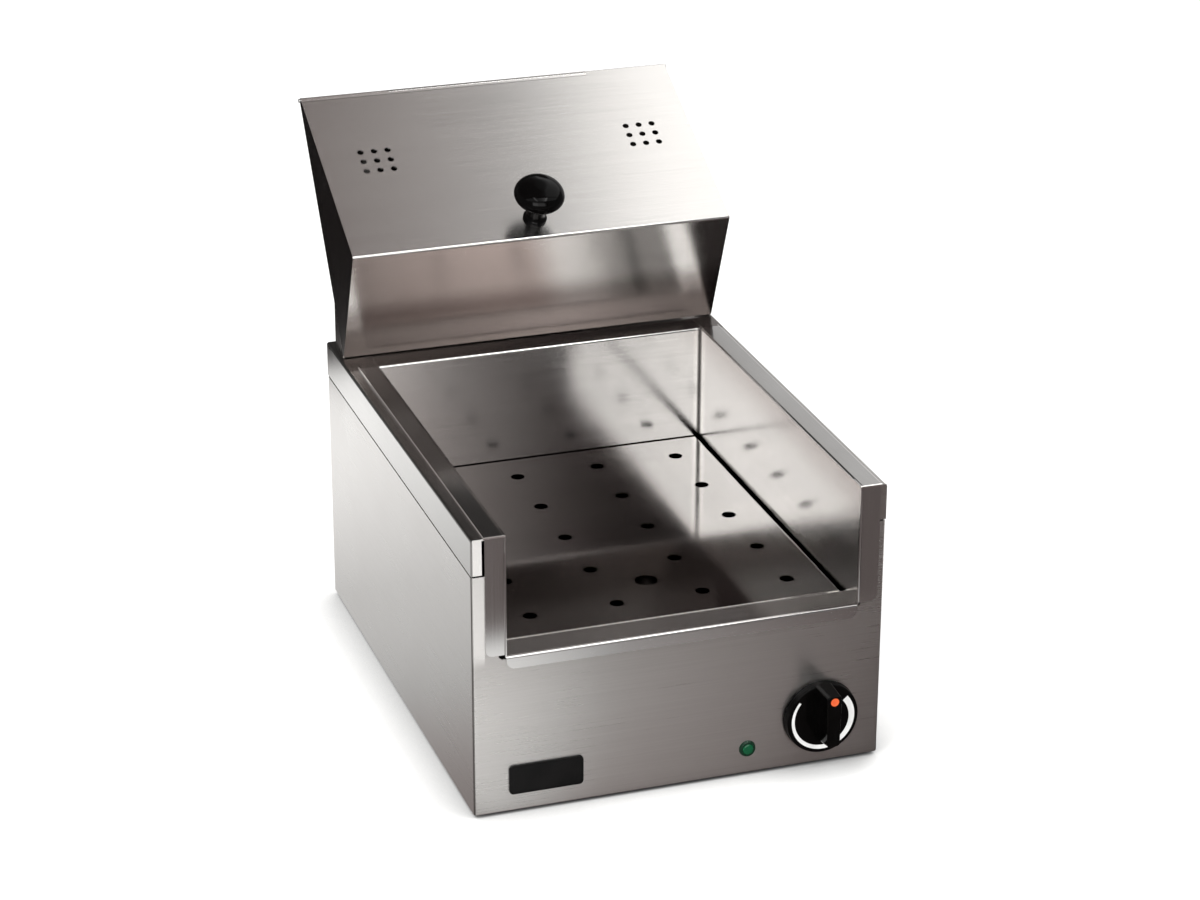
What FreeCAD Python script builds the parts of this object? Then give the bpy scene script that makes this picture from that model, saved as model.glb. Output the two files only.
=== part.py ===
import FreeCAD, Part
import os
from math import sin, cos, tan, atan2, asin, sqrt, radians, degrees, pi

os.makedirs("parts", exist_ok=True)
V = FreeCAD.Vector

# ---------------------------------------------------------------- driving dimensions (mm)
W = 285.0            # body width
D = 364.0            # body depth, front face at y = 0
H = 198.0            # top of the rails above the body's lower edge
T = 1.0              # sheet thickness
SEAM = 172.3         # middle of the gap between body shell and top frame
GAP = 1.2            # width of that gap
FOOT = 2.5           # feet stand this far below the body
CUT_CX = 0.9         # front cut-out, centre
CUT_HW = 125.6       # front cut-out, half width
CUT_Z = 111.3        # front cut-out, lower edge
WELL_CX = 1.0        # opening in the top frame
WELL_HW = 126.5
WELL_Y = 305.6
PCX = 2.0            # pan, centre in X
P_HW = 121.5         # pan, inner half width
P_BACK = 303.0       # pan, inner face of the rear wall
P_FLOOR = 90.0       # pan, top of the floor
LEDGE_Z = 113.7      # pan, front ledge and drain plate level
LEDGE_Y = 21.5       # pan, depth of the front ledge
WING_OUT = 135.8     # pan wings, outer edge from the pan's centre
WING_Z = 115.1       # pan wings, lower edge
LIP_Z = 104.4         # pan lip, lower edge
FL_OUT = 136.5       # pan side flange, outer edge from the pan's centre
PLATE_CX = 1.5
PLATE_HW = 120.2
HOLE_PX, HOLE_PY = 60.5, 55.1
HOLE_CX, HOLE_Y1 = 3.3, 51.0
HOLE_R, FINGER_R = 5.0, 8.0
# lid, side view points (y, z)
LX0, LX1 = -139.0, 141.4
FY, FZ = 293.0, 286.5          # fold
BY, BZ = 327.8, 198.8          # lower edge of the front panel
A_DEG, A_LEN = 27.5, 159.6     # slope and length of the top panel
KN_R, PIN_R, BORE_R = 1.8, 0.9, 0.95
HY, HZ = 361.0, 201.6          # rear hinge axis
FOLD_X = (-73.2, 78.1)         # middle knuckle of the fold hinge
LEAF_X = (-129.0, 131.4)       # rear leaf
# controls on the front panel
KX, KZ = 99.5, 35.2
LAMP_X, LAMP_Z = 48.1, 18.0
BADGE_X, BADGE_Z, BADGE_W, BADGE_H = -93.0, 22.7, 51.0, 21.0
YMIN, YMAX = -26.0, 437.0
SHIFT = V(0, -(YMIN + YMAX) / 2.0, FOOT)


# ---------------------------------------------------------------- helpers
def box(x0, y0, z0, x1, y1, z1):
    return Part.makeBox(x1 - x0, y1 - y0, z1 - z0, V(x0, y0, z0))


def cyl(r, p, d, h):
    return Part.makeCylinder(r, h, V(*p), V(*d))


def tube(ro, ri, p, d, h):
    return cyl(ro, p, d, h).cut(cyl(ri, (p[0] - d[0], p[1] - d[1], p[2] - d[2]), d, h + 2))


def cone(r1, r2, p, d, h):
    return Part.makeCone(r1, r2, h, V(*p), V(*d))


def arc_cos(c):
    return atan2(sqrt(max(0, 1 - c * c)), c)


def round_poly(pts, radii, put):
    """closed wire through 2-D points with rounded corners"""
    n = len(pts)
    segs = []
    for i in range(n):
        p0, p1, p2 = pts[i - 1], pts[i], pts[(i + 1) % n]
        r = radii[i] if isinstance(radii, (list, tuple)) else radii
        if r <= 0:
            segs.append((p1, None, p1))
            continue
        a = (p0[0] - p1[0], p0[1] - p1[1])
        b = (p2[0] - p1[0], p2[1] - p1[1])
        la, lb = sqrt(a[0] ** 2 + a[1] ** 2), sqrt(b[0] ** 2 + b[1] ** 2)
        a = (a[0] / la, a[1] / la)
        b = (b[0] / lb, b[1] / lb)
        c = max(-1, min(1, a[0] * b[0] + a[1] * b[1]))
        if c <= -0.99999:
            segs.append((p1, None, p1))
            continue
        half = 0.5 * arc_cos(c)
        d = r / tan(half)
        bis = (a[0] + b[0], a[1] + b[1])
        lbis = sqrt(bis[0] ** 2 + bis[1] ** 2)
        q = (p1[0] + bis[0] / lbis * (r / sin(half) - r), p1[1] + bis[1] / lbis * (r / sin(half) - r))
        segs.append(((p1[0] + a[0] * d, p1[1] + a[1] * d), q, (p1[0] + b[0] * d, p1[1] + b[1] * d)))
    edges = []
    for i in range(n):
        s, q, e = segs[i]
        if q is not None:
            edges.append(Part.Arc(put(s), put(q), put(e)).toShape())
        nx = segs[(i + 1) % n][0]
        if sqrt((nx[0] - e[0]) ** 2 + (nx[1] - e[1]) ** 2) > 1e-6:
            edges.append(Part.LineSegment(put(e), put(nx)).toShape())
    return Part.Wire(edges)


def slab(pts, r, plane, at, depth):
    """rounded polygon in a plane, extruded along that plane's normal"""
    if plane == "yz":
        put, d = (lambda p: V(at, p[0], p[1])), V(depth, 0, 0)
    elif plane == "xz":
        put, d = (lambda p: V(p[0], at, p[1])), V(0, depth, 0)
    else:
        put, d = (lambda p: V(p[0], p[1], at)), V(0, 0, depth)
    return Part.Face(round_poly(pts, r, put)).extrude(d)


def sheet(pts, t, side, r, plane, at, depth):
    """bent sheet: pts is the outer face's line, t goes to the given side (+1 left, -1 right)"""
    n = len(pts)
    dirs = []
    for i in range(n - 1):
        dx, dy = pts[i + 1][0] - pts[i][0], pts[i + 1][1] - pts[i][1]
        l = sqrt(dx * dx + dy * dy)
        dirs.append((dx / l, dy / l))
    nrm = [(-d[1] * side, d[0] * side) for d in dirs]
    off = [(pts[0][0] + nrm[0][0] * t, pts[0][1] + nrm[0][1] * t)]
    ro, ri = [0], [0]
    for i in range(1, n - 1):
        n0, n1 = nrm[i - 1], nrm[i]
        k = t / (1 + n0[0] * n1[0] + n0[1] * n1[1])
        off.append((pts[i][0] + (n0[0] + n1[0]) * k, pts[i][1] + (n0[1] + n1[1]) * k))
        turn = (dirs[i - 1][0] * dirs[i][1] - dirs[i - 1][1] * dirs[i][0]) * side
        if turn > 0:
            ro.append(r + t)
            ri.append(r)
        else:
            ro.append(r)
            ri.append(r + t)
    ro.append(0)
    ri.append(0)
    off.append((pts[-1][0] + nrm[-1][0] * t, pts[-1][1] + nrm[-1][1] * t))
    return slab(list(pts) + off[::-1], ro + ri[::-1], plane, at, depth)


def run_tube(pts, r, bend):
    """round tube along straight runs joined by tangent arcs"""
    P = [V(*p) for p in pts]
    edges = []
    last = P[0]
    for i in range(1, len(P) - 1):
        a = (P[i - 1] - P[i]).normalize()
        b = (P[i + 1] - P[i]).normalize()
        half = 0.5 * arc_cos(max(-1, min(1, a.dot(b))))
        d = bend / tan(half)
        s, e = P[i] + a * d, P[i] + b * d
        m = (a + b).normalize()
        q = P[i] + m * (bend / sin(half) - bend)
        if (s - last).Length > 1e-6:
            edges.append(Part.LineSegment(last, s).toShape())
        edges.append(Part.Arc(s, q, e).toShape())
        last = e
    edges.append(Part.LineSegment(last, P[-1]).toShape())
    path = Part.Wire(edges)
    c = Part.Wire([Part.Circle(P[0], (P[1] - P[0]).normalize(), r).toShape()])
    s = path.makePipeShell([c], True, False)
    length = path.Length
    if abs(s.Volume - pi * r * r * length) > 0.03 * s.Volume:
        print("tube volume differs", s.Volume, pi * r * r * length)
    return s


def hexnut(af, hole, h, p, d="z"):
    R = af / sqrt(3)
    pts = [(R * cos(radians(60 * i + 30)), R * sin(radians(60 * i + 30))) for i in range(6)]
    if d == "z":
        s = slab([(p[0] + a, p[1] + b) for a, b in pts], 0, "xy", p[2], h)
        return s.cut(cyl(hole, (p[0], p[1], p[2] - 1), (0, 0, 1), h + 2))
    s = slab([(p[0] + a, p[2] + b) for a, b in pts], 0, "xz", p[1], h)
    return s.cut(cyl(hole, (p[0], p[1] - 1, p[2]), (0, 1, 0), h + 2))


def pan_screw(p, d, shank, length, head_r, head_h):
    """domed-head screw, head on the side away from d, shank along d, with a cross slot"""
    p0 = V(*p)
    dv = V(*d)
    head = cyl(head_r, p, (-dv.x, -dv.y, -dv.z), head_h)
    try:
        e = [x for x in head.Edges if isinstance(x.Curve, Part.Circle) and (x.CenterOfMass - (p0 - dv * head_h)).Length < 0.01]
        head = head.makeFillet(head_h * 0.55, e)
    except Exception:
        pass
    u = V(1, 0, 0) if abs(dv.x) < 0.5 else V(0, 1, 0)
    w = dv.cross(u)
    for a, b in ((u, w), (w, u)):
        c = p0 - dv * (head_h + 0.5)
        o = c - a * (head_r * 0.55) - b * (head_r * 0.11)
        pts = [o, o + a * (head_r * 1.1), o + a * (head_r * 1.1) + b * (head_r * 0.22), o + b * (head_r * 0.22)]
        head = head.cut(Part.Face(Part.makePolygon(pts + [pts[0]])).extrude(dv * (head_h * 0.55 + 0.5)))
    return head.fuse(cyl(shank, p, d, length)).removeSplitter()


def fuse(*s):
    r = s[0]
    for x in s[1:]:
        r = r.fuse(x)
    return r.removeSplitter()


def group(*s):
    return Part.makeCompound(list(s))


def fil(s, r, pick):
    e = [x for x in s.Edges if pick(x)]
    if not e:
        print("no edge to round", r)
        return s
    try:
        f = s.makeFillet(r, e)
        if f.isValid() and f.Volume > 0:
            return f
    except Exception as x:
        print("rounding failed", r, len(e), x)
    return s


def along(e, ax):
    v = e.Vertexes
    if len(v) != 2:
        return False
    d = v[1].Point - v[0].Point
    if d.Length < 1e-6:
        return False
    d.normalize()
    return abs(abs((d.x, d.y, d.z)[ax]) - 1) < 1e-6


parts = {}

# ---------------------------------------------------------------- body shell: one folded sheet, front and both sides
hw = W / 2
top_b = SEAM - GAP / 2
plan = [(-hw + 13, D - 1), (-hw, D - 1), (-hw, 0), (hw, 0), (hw, D - 1), (hw - 13, D - 1)]
shell = sheet(plan, T, 1, 1.0, "xy", 0, top_b)
shell = fuse(shell,
             box(-hw + 3, T - 0.2, 0, hw - 3, 12, T), box(-hw + T - 0.2, 12, 0, -hw + 12, D - 14, T), box(hw - 12, 12, 0, hw - T + 0.2, D - 14, T))
shell = fil(shell, 0.9, lambda e: abs(e.BoundBox.ZMax) < 0.01 and (abs(e.BoundBox.YMax) < 0.01 or abs(abs(e.BoundBox.XMin) - hw) < 0.01 and abs(e.BoundBox.XMax - e.BoundBox.XMin) < 0.01))
cx0, cx1 = CUT_CX - CUT_HW, CUT_CX + CUT_HW
shell = shell.cut(slab([(cx0, CUT_Z), (cx1, CUT_Z), (cx1, top_b + 5), (cx0, top_b + 5)], [3, 3, 0, 0], "xz", -1, 4))
shell = fuse(shell, box(cx0 + 7, T - 0.2, CUT_Z - T, cx1 - 7, 9, CUT_Z))
for hx, hz, hr in ((KX, KZ, 5.2), (KX - 14, KZ, 2.2), (KX + 14, KZ, 2.2), (LAMP_X, LAMP_Z, 5.1)):
    shell = shell.cut(cyl(hr, (hx, -1, hz), (0, 1, 0), 4))
base_holes = [(-hw + 7, 60), (-hw + 7, 182), (-hw + 7, 300), (hw - 7, 60), (hw - 7, 182), (hw - 7, 300)]
for x, y in base_holes:
    shell = shell.cut(cyl(1.7, (x, y, -1), (0, 0, 1), 4))
rear_holes = [(-hw + 8, 30), (-hw + 8, 128), (hw - 8, 30), (hw - 8, 128)]
for x, z in rear_holes:
    shell = shell.cut(cyl(1.7, (x, D - 4, z), (0, 1, 0), 6))
parts["body_shell"] = shell

# ---------------------------------------------------------------- top frame: rails, rear ledge, skirts with a joggle that drops inside the body
sk = SEAM + GAP / 2
section = [(-hw, sk), (-hw, H), (hw, H), (hw, sk)]
frame = sheet(section, T, -1, 0.8, "xz", 0, D)
frame = fuse(frame, box(-hw + 2, D - T, sk, hw - 2, D, H - 0.5))
frame = fuse(frame, box(-hw, D - T, sk, -hw + 3, D, H - 2), box(hw - 3, D - T, sk, hw, D, H - 2))
frame = fil(frame, 0.9, lambda e: along(e, 0) and abs(e.BoundBox.YMax - D) < 0.01 and abs(e.BoundBox.ZMax - H) < 0.01)
frame = frame.cut(box(WELL_CX - WELL_HW, -5, H - 5, WELL_CX + WELL_HW, WELL_Y, H + 5))
for s in (-1, 1):
    a, b = sorted((s * hw, s * 135.2))
    frame = fuse(frame, box(a + (0.4 if s < 0 else 0), 0, sk, b - (0.4 if s > 0 else 0), T, H - 0.3))
    j = [(s * (hw - T - 0.1), SEAM - 11), (s * (hw - T - 0.1), sk + 1.0), (s * (hw - 0.4), sk + 1.0), (s * (hw - 0.4), sk + 2.0), (s * (hw - 2 * T - 0.1), sk + 2.0), (s * (hw - 2 * T - 0.1), SEAM - 11)]
    frame = fuse(frame, slab(j, 0, "xz", 2.5, D - 20))
cheek_holes = [(-132.5, 336.0), (-132.5, 345.0), (134.9, 336.0), (134.9, 345.0)]
hinge_holes = [(-61.0, 349.0), (1.0, 349.0), (63.0, 349.0)]
for x, y in cheek_holes + hinge_holes:
    frame = frame.cut(cyl(1.55, (x, y, H - 4), (0, 0, 1), 6))
parts["top_frame"] = frame

# ---------------------------------------------------------------- rear cover with vent slots and the cable entry
GX, GZ = -95.0, 36.0
rear = slab([(-hw + 2, 2.5), (hw - 2, 2.5), (hw - 2, top_b - 0.6), (-hw + 2, top_b - 0.6)], 2, "xz", D - 1, T)
for k in range(9):
    for x0 in (20, 70):
        z = 40 + k * 9
        rear = rear.cut(slab([(x0, z), (x0 + 38, z), (x0 + 38, z + 3.5), (x0, z + 3.5)], 1.7, "xz", D - 3, 6))
rear = rear.cut(cyl(8.1, (GX, D - 3, GZ), (0, 1, 0), 6))
for x, z in rear_holes:
    rear = rear.cut(cyl(1.7, (x, D - 3, z), (0, 1, 0), 6))
parts["rear_cover"] = rear
parts["rear_cover_screws"] = group(*[pan_screw((x, D, z), (0, -1, 0), 1.6, 8, 3.2, 1.6) for x, z in rear_holes])

# ---------------------------------------------------------------- base plate, feet and their fixings
base = slab([(-hw + 2, 2.2), (hw - 2, 2.2), (hw - 2, D - 4), (-hw + 2, D - 4)], 3, "xy", T, T)
for k in range(7):
    for x0 in (-60, 12):
        y = 120 + k * 20
        base = base.cut(slab([(x0, y), (x0 + 48, y), (x0 + 48, y + 5), (x0, y + 5)], 2.4, "xy", -1, 6))
feet_at = [(-118, 30), (118, 30), (-118, 334), (118, 334)]
spacer_at = [(-100, 92), (100, 92), (-100, 296), (100, 296)]
for x, y in feet_at:
    base = base.cut(cyl(2.1, (x, y, -1), (0, 0, 1), 5))
for x, y in spacer_at:
    base = base.cut(cyl(2.1, (x, y, -1), (0, 0, 1), 5))
for x, y in base_holes:
    base = base.cut(cyl(1.7, (x, y, -1), (0, 0, 1), 5))
parts["base_plate"] = base
parts["base_plate_screws"] = group(*[pan_screw((x, y, 0), (0, 0, 1), 1.6, 7, 3.2, 1.5) for x, y in base_holes])
feet, fscr, fnut = [], [], []
for x, y in feet_at:
    f = cyl(11, (x, y, -FOOT), (0, 0, 1), FOOT + T)
    f = fil(f, 0.8, lambda e: abs(e.BoundBox.ZMax + FOOT) < 0.01)
    f = f.cut(cyl(2.1, (x, y, -9), (0, 0, 1), 20)).cut(cyl(4.6, (x, y, -FOOT - 1), (0, 0, 1), FOOT + 0.9))
    feet.append(f)
    fscr.append(pan_screw((x, y, -0.1), (0, 0, 1), 2.0, 8, 4.0, 1.9))
    fnut.append(hexnut(7, 2.0, 3.2, (x, y, 2 * T)))
parts["feet"] = group(*feet)
parts["foot_screws"] = group(*fscr)
parts["foot_nuts"] = group(*fnut)

# ---------------------------------------------------------------- heater tray on spacers, insulation below it
TZ = 65.0
tray = fuse(box(-118, 50, TZ, 118, 308, TZ + T), box(-118, 50, TZ, -117, 308, TZ + 14), box(117, 50, TZ, 118, 308, TZ + 14),
            box(-118, 50, TZ, 118, 51, TZ + 14), box(-118, 307, TZ, 118, 308, TZ + 14))
for x, y in spacer_at:
    tray = tray.cut(cyl(2.1, (x, y, TZ - 2), (0, 0, 1), 6))
tray = tray.cut(box(-88, 49, TZ + 3, -64, 52, TZ + 12)).cut(box(64, 49, TZ + 3, 88, 52, TZ + 12)).cut(box(93, 49, TZ + 6, 97, 52, TZ + 15))
parts["heater_tray"] = tray
parts["tray_spacers"] = group(*[tube(5, 2.1, (x, y, 2 * T), (0, 0, 1), TZ - 2 * T) for x, y in spacer_at])
parts["tray_screws"] = group(*[pan_screw((x, y, T), (0, 0, 1), 2.0, TZ + 3.2, 3.6, 2.0) for x, y in spacer_at])
parts["tray_nuts"] = group(*[hexnut(7, 2.0, 3.0, (x, y, TZ + T)) for x, y in spacer_at])
ins = box(-114, 76, TZ - 12, 114, 304, TZ)
for x, y in spacer_at:
    ins = ins.cut(cyl(5.05, (x, y, 40), (0, 0, 1), 30))
parts["insulation_board"] = ins

# ---------------------------------------------------------------- tubular element: four runs and its cold ends
EZ = TZ + 8
er = 3.25
pts = [(-76, 40, EZ), (-76, 280, EZ), (-26, 280, EZ), (-26, 100, EZ), (26, 100, EZ), (26, 280, EZ), (76, 280, EZ), (76, 40, EZ)]
elem = run_tube(pts, er, 20.0)
parts["heating_element"] = elem
sup = []
for y in (140, 230):
    s = box(-88, y, TZ + T, 88, y + 8, TZ + T + 7)
    for x in (-76, -26, 26, 76):
        s = s.cut(cyl(er + 0.05, (x, y - 1, EZ), (0, 1, 0), 10)).cut(box(x - er - 0.05, y - 1, EZ, x + er + 0.05, y + 9, EZ + 5))
    s = s.cut(box(-50, y - 1, TZ + 2 * T, -40, y + 9, TZ + 6))
    sup.append(s)
parts["element_supports"] = group(*sup)
parts["element_insulators"] = group(*[tube(4.5, 1.05, (x, 33, EZ), (0, 1, 0), 7) for x in (-76, 76)])
parts["element_pins"] = group(*[cyl(1.0, (x, 28, EZ), (0, 1, 0), 12) for x in (-76, 76)])

# ---------------------------------------------------------------- thermostat behind the front panel
thb = fuse(box(KX - 17, 5, KZ - 15, KX + 17, 36, KZ + 15), box(KX - 20, T, KZ - 9, KX + 20, 2.5, KZ + 9), box(KX - 10, 2.5, KZ - 9, KX + 10, 5, KZ + 9),
           cyl(4.9, (KX, -0.8, KZ), (0, 1, 0), 5))
thb = fil(thb, 1.5, lambda e: along(e, 1) and abs(e.BoundBox.YLength - 31) < 0.2)
thb = thb.cut(cyl(3.06, (KX, -3, KZ), (0, 1, 0), 18))
thb = thb.cut(cyl(1.6, (KX - 14, -1, KZ), (0, 1, 0), 4.5)).cut(cyl(1.6, (KX + 14, -1, KZ), (0, 1, 0), 4.5))
thb = fuse(thb, box(KX - 12, 36, KZ + 4, KX - 5.7, 43, KZ + 4.8), box(KX + 5.7, 36, KZ + 4, KX + 12, 43, KZ + 4.8))
parts["thermostat_body"] = thb
parts["thermostat_screws"] = group(*[pan_screw((x, 0, KZ), (0, 1, 0), 1.55, 4.2, 2.8, 1.2) for x in (KX - 14, KX + 14)])
# sensing line from the thermostat to a bulb held above the tray
cap = run_tube([(KX - 4.5, 36, KZ - 6), (KX - 4.5, 44, KZ - 6), (KX - 4.5, 44, TZ + 10.5), (KX - 4.5, 66, TZ + 10.5)], 0.8, 3.5)
bulb = fuse(cyl(3.0, (KX - 4.5, 66, TZ + 10.5), (0, 1, 0), 74), cone(3.0, 0.9, (KX - 4.5, 140, TZ + 10.5), (0, 1, 0), 3))
parts["thermostat_bulb"] = fuse(cap, bulb)
clip = []
for y in (78, 122):
    x = KX - 4.5
    c = box(x - 4.2, y, TZ + T, x + 4.2, y + 6, TZ + 14.2).cut(cyl(3.05, (x, y - 1, TZ + 10.5), (0, 1, 0), 8)).cut(box(x - 3.2, y - 1, TZ + 2 * T, x + 3.2, y + 7, TZ + 6.5))
    clip.append(c)
parts["bulb_clips"] = group(*clip)
# over-temperature cut-out on the inside of the tray's front wall
parts["safety_cutout"] = fuse(cyl(5.8, (-40, 51, TZ + 7.4), (0, 1, 0), 6), box(-47, 57, TZ + 5, -41.5, 63, TZ + 5.8), box(-38.5, 57, TZ + 5, -33, 63, TZ + 5.8))

# ---------------------------------------------------------------- indicator
bez = cone(5.9, 5.2, (LAMP_X, 0, LAMP_Z), (0, -1, 0), 1.7)
bez = fil(bez, 0.4, lambda e: abs(e.BoundBox.YMax + 1.7) < 0.01)
bez = bez.cut(cyl(3.9, (LAMP_X, -3, LAMP_Z), (0, 1, 0), 6))
parts["indicator_bezel"] = bez
lens = cyl(3.85, (LAMP_X, -2.6, LAMP_Z), (0, 1, 0), 4.5)
lens = fil(lens, 1.3, lambda e: abs(e.BoundBox.YMax + 2.6) < 0.01)
parts["indicator_lens"] = lens
lamp = fuse(cyl(5.0, (LAMP_X, 0, LAMP_Z), (0, 1, 0), 24),
            box(LAMP_X - 4, 24, LAMP_Z - 0.4, LAMP_X - 1, 31, LAMP_Z + 0.4), box(LAMP_X + 1, 24, LAMP_Z - 0.4, LAMP_X + 4, 31, LAMP_Z + 0.4))
parts["indicator_body"] = lamp.cut(cyl(3.9, (LAMP_X, -1, LAMP_Z), (0, 1, 0), 3))
parts["indicator_clip"] = tube(7.5, 5.05, (LAMP_X, T, LAMP_Z), (0, 1, 0), 2.0)

# ---------------------------------------------------------------- bare badge plate: raised border round a plain field
bd = slab([(BADGE_X - BADGE_W / 2, BADGE_Z - BADGE_H / 2), (BADGE_X + BADGE_W / 2, BADGE_Z - BADGE_H / 2), (BADGE_X + BADGE_W / 2, BADGE_Z + BADGE_H / 2), (BADGE_X - BADGE_W / 2, BADGE_Z + BADGE_H / 2)], 3.0, "xz", -1.2, 1.2)
bw, bh = BADGE_W / 2 - 1.0, BADGE_H / 2 - 1.0
bd = bd.cut(slab([(BADGE_X - bw, BADGE_Z - bh), (BADGE_X + bw, BADGE_Z - bh), (BADGE_X + bw, BADGE_Z + bh), (BADGE_X - bw, BADGE_Z + bh)], 2.2, "xz", -1.6, 0.7))
parts["badge_plate"] = bd

# ---------------------------------------------------------------- mains side: terminals, earth stud, gland, internal wiring
tb = box(-110, 318, 2 * T, -70, 338, 20)
tb = fil(tb, 1.2, lambda e: along(e, 2))
for x in (-103, -90, -77):
    tb = tb.cut(cyl(2.2, (x, 328, 14), (0, 0, 1), 10)).cut(cyl(1.8, (x, 317, 8), (0, 1, 0), 22))
parts["terminal_block"] = tb
parts["terminal_screws"] = group(*[cyl(2.0, (x, 328, 14), (0, 0, 1), 4).cut(box(x - 2.5, 327.7, 17, x + 2.5, 328.3, 19)) for x in (-103, -90, -77)])
es = fuse(cyl(2.5, (-48, 328, 2 * T), (0, 0, 1), 16), cyl(5, (-48, 328, 2 * T), (0, 0, 1), 4.75))
parts["earth_stud"] = es
parts["earth_nut"] = hexnut(8, 2.5, 4.0, (-48, 328, 9.25))
gl = fuse(cyl(11, (GX, D, GZ), (0, 1, 0), 4), cyl(8.0, (GX, D - 12, GZ), (0, 1, 0), 14), cone(9.5, 7.0, (GX, D + 4, GZ), (0, 1, 0), 11))
gl = gl.cut(cyl(3.8, (GX, D - 13, GZ), (0, 1, 0), 30))
parts["cable_gland"] = gl
parts["gland_nut"] = hexnut(22, 8.0, 5.0, (GX, D - 6.0, GZ), "y")
wires = {
    "wire_live": [(-103, 318, 8), (-103, 306, 8), (-103, 306, 26), (-84, 306, 26), (-84, 64, 26), (KX + 8.8, 64, 26), (KX + 8.8, 64, KZ + 4.4), (KX + 8.8, 43, KZ + 4.4)],
    "wire_neutral": [(-90, 318, 8), (-90, 299, 8), (-90, 299, 18), (-76, 299, 18), (-76, 17, 18), (-76, 17, EZ), (-76, 28, EZ)],
    "wire_heater": [(KX - 8.8, 43, KZ + 4.4), (KX - 8.8, 52, KZ + 4.4), (76, 52, KZ + 4.4), (76, 17, KZ + 4.4), (76, 17, EZ), (76, 28, EZ)],
    "wire_earth": [(-77, 318, 8), (-77, 308, 8), (-62, 308, 8), (-62, 328, 8), (-53.2, 328, 8)],
}
for n, p in wires.items():
    parts[n] = run_tube(p, 1.2, 3.0)
parts["earth_ring"] = tube(5.2, 2.55, (-48, 328, 6.75), (0, 0, 1), 2.5)

# ---------------------------------------------------------------- lift-out pan: floor, walls, rail flanges, wings, ledge and lip
x0, x1 = PCX - P_HW, PCX + P_HW
pz0 = P_FLOOR - T
ZT = H + T
# side walls: folded from the flange, down to the floor; in front of the ledge they are shorter
walls = []
for s, xi in ((-1, x0), (1, x1)):
    xo = xi + s * T
    a, b = min(xi, xo), max(xi, xo)
    walls.append(box(a, LEDGE_Y, pz0, b, P_BACK + T, ZT - 0.5))
    walls.append(box(a, -1.2, LEDGE_Z - T, b, LEDGE_Y + 1, ZT - 0.5))
    fl = sheet([(xi, ZT - 12), (xi, ZT), (PCX + s * FL_OUT, ZT)], T, 1 if s < 0 else -1, 0.8, "xz", -1.5, 307.0)
    walls.append(fl)
    wg = sheet([(xi, 12), (xi, -1.5), (PCX + s * WING_OUT, -1.5)], T, -1 if s < 0 else 1, 0.8, "xy", WING_Z, ZT - WING_Z)
    ox = PCX + s * WING_OUT
    keep = slab([(xi - s * 3, WING_Z), (ox, WING_Z), (ox, ZT), (xi - s * 3, ZT)], [0, 5.0, 0, 0], "xz", -3, 20)
    walls.append(wg.common(keep))
floor = box(x0 - T, LEDGE_Y, pz0, x1 + T, P_BACK + T, P_FLOOR)
back = sheet([(P_BACK, pz0 + 0.2), (P_BACK, ZT), (P_BACK + 18, ZT)], T, -1, 0.8, "yz", x0, x1 - x0)
front = sheet([(LEDGE_Y + T, pz0 + 0.2), (LEDGE_Y + T, LEDGE_Z), (-1.5, LEDGE_Z), (-1.5, LIP_Z)], T, 1, 0.8, "yz", x0 - 0.3, x1 - x0 + 0.6)
lipcut = slab([(x0 - 0.3, LIP_Z), (x1 + 0.3, LIP_Z), (x1 + 0.3, 200), (x0 - 0.3, 200)], [6, 6, 0, 0], "xz", -3, 3.2)
front = fuse(front.common(lipcut), front.common(box(x0 - 1, 0.1, 0, x1 + 1, 60, 200)))
pan = fuse(floor, back, front, *walls)
pan = fil(pan, 0.6, lambda e: abs(e.BoundBox.ZMin - P_FLOOR) < 0.01 and abs(e.BoundBox.ZMax - P_FLOOR) < 0.01 and x0 - 0.01 < e.BoundBox.XMin and e.BoundBox.XMax < x1 + 0.01 and e.BoundBox.YMin > LEDGE_Y)
parts["pan"] = pan

# ---------------------------------------------------------------- perforated drain plate on folded legs
pl0, pl1 = PLATE_CX - PLATE_HW, PLATE_CX + PLATE_HW
plate = sheet([(pl0, P_FLOOR + 0.05), (pl0, LEDGE_Z), (pl1, LEDGE_Z), (pl1, P_FLOOR + 0.05)], T, -1, 1.0, "xz", LEDGE_Y + T + 0.5, P_BACK - 0.8 - LEDGE_Y - T - 0.5)
for c in range(4):
    for r in range(5):
        plate = plate.cut(cyl(HOLE_R, (HOLE_CX + (c - 1.5) * HOLE_PX, HOLE_Y1 + r * HOLE_PY, LEDGE_Z - 4), (0, 0, 1), 8))
plate = plate.cut(cyl(FINGER_R, (HOLE_CX, HOLE_Y1 + 0.5 * HOLE_PY, LEDGE_Z - 4), (0, 0, 1), 8))
parts["drain_plate"] = plate

# ---------------------------------------------------------------- folding lid
ad = radians(A_DEG)
a = (cos(ad), sin(ad))
n_ = (-sin(ad), cos(ad))
PT = (FY + A_LEN * a[0] - KN_R * n_[0], FZ + A_LEN * a[1] - KN_R * n_[1])
TE = (FY + A_LEN * a[0], FZ + A_LEN * a[1])
vb = (BY - PT[0], BZ - PT[1])
lb = sqrt(vb[0] ** 2 + vb[1] ** 2)
ub = (vb[0] / lb, vb[1] / lb)
ang = asin(KN_R / lb)
# side edge: tangent to the knuckle on its rear side, ending at the lower edge of the front panel
ue = (ub[0] * cos(ang) + ub[1] * sin(ang), -ub[0] * sin(ang) + ub[1] * cos(ang))
nr = (-ue[1], ue[0])
ET = (PT[0] + nr[0] * KN_R, PT[1] + nr[1] * KN_R)
le = sqrt((BY - ET[0]) ** 2 + (BZ - ET[1]) ** 2)
ue = ((BY - ET[0]) / le, (BZ - ET[1]) / le)
nr = (-ue[1], ue[0])
lw = LX1 - LX0
skin = sheet([TE, (FY, FZ), (BY, BZ)], T, 1, 1.2, "yz", LX0, lw)
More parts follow.
